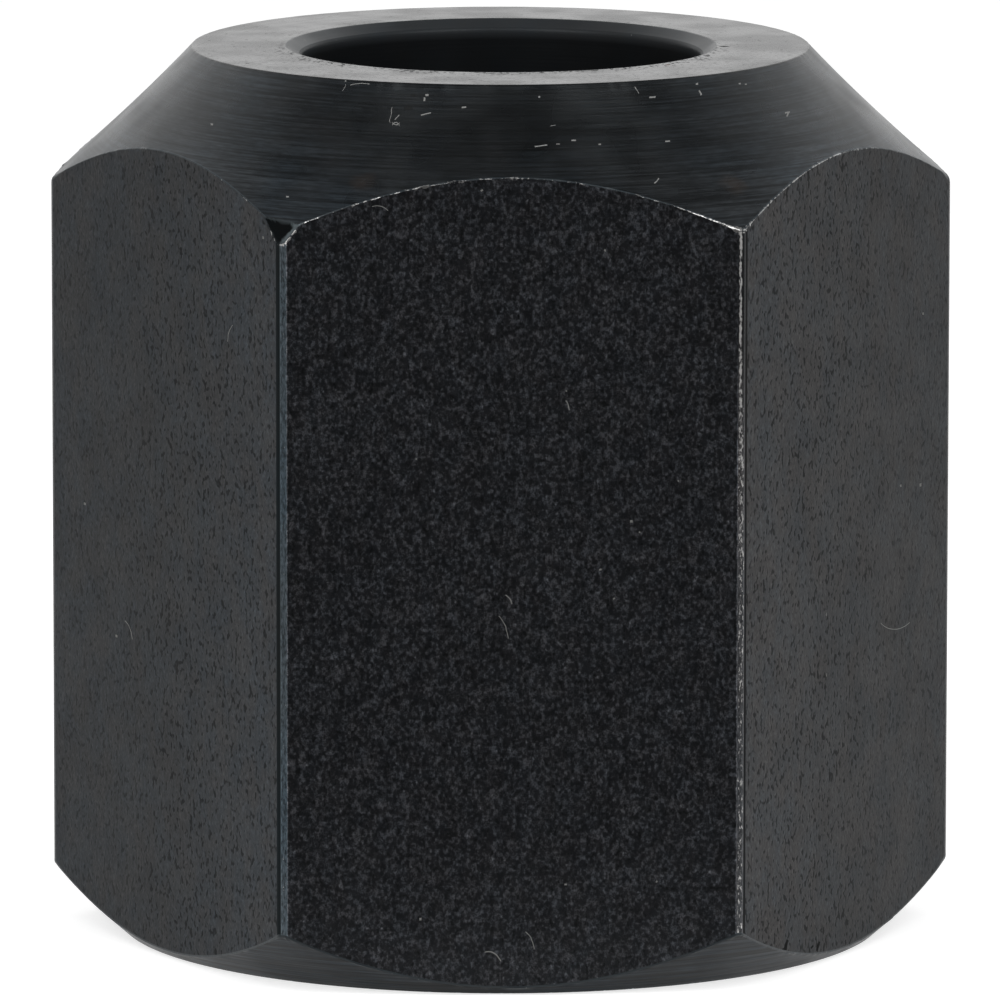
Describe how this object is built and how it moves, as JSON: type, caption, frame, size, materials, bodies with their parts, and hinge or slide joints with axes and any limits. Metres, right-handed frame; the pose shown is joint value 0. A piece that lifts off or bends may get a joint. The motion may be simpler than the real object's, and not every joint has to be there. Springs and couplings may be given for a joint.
{
  "type": "router collet nut",
  "caption": "Hexagonal clamping nut for a router collet, with a coned nose, a chamfered nose bore, a conical collet seat and an internal thread.",
  "frame": {"origin": "centre of the flat face at the open, threaded end, on the thread axis", "axes": "+Z along the thread axis, from the open end to the nose; one wrench flat faces -Y, and +X runs through a corner"},
  "size_m": [0.0218, 0.019, 0.0217],
  "materials": {
    "black_oxide_steel": "black oxide, satin, with bare metal on the worn edges"
  },
  "bodies": {
    "root": {"collet_nut": "black_oxide_steel"}
  },
  "joints": []
}
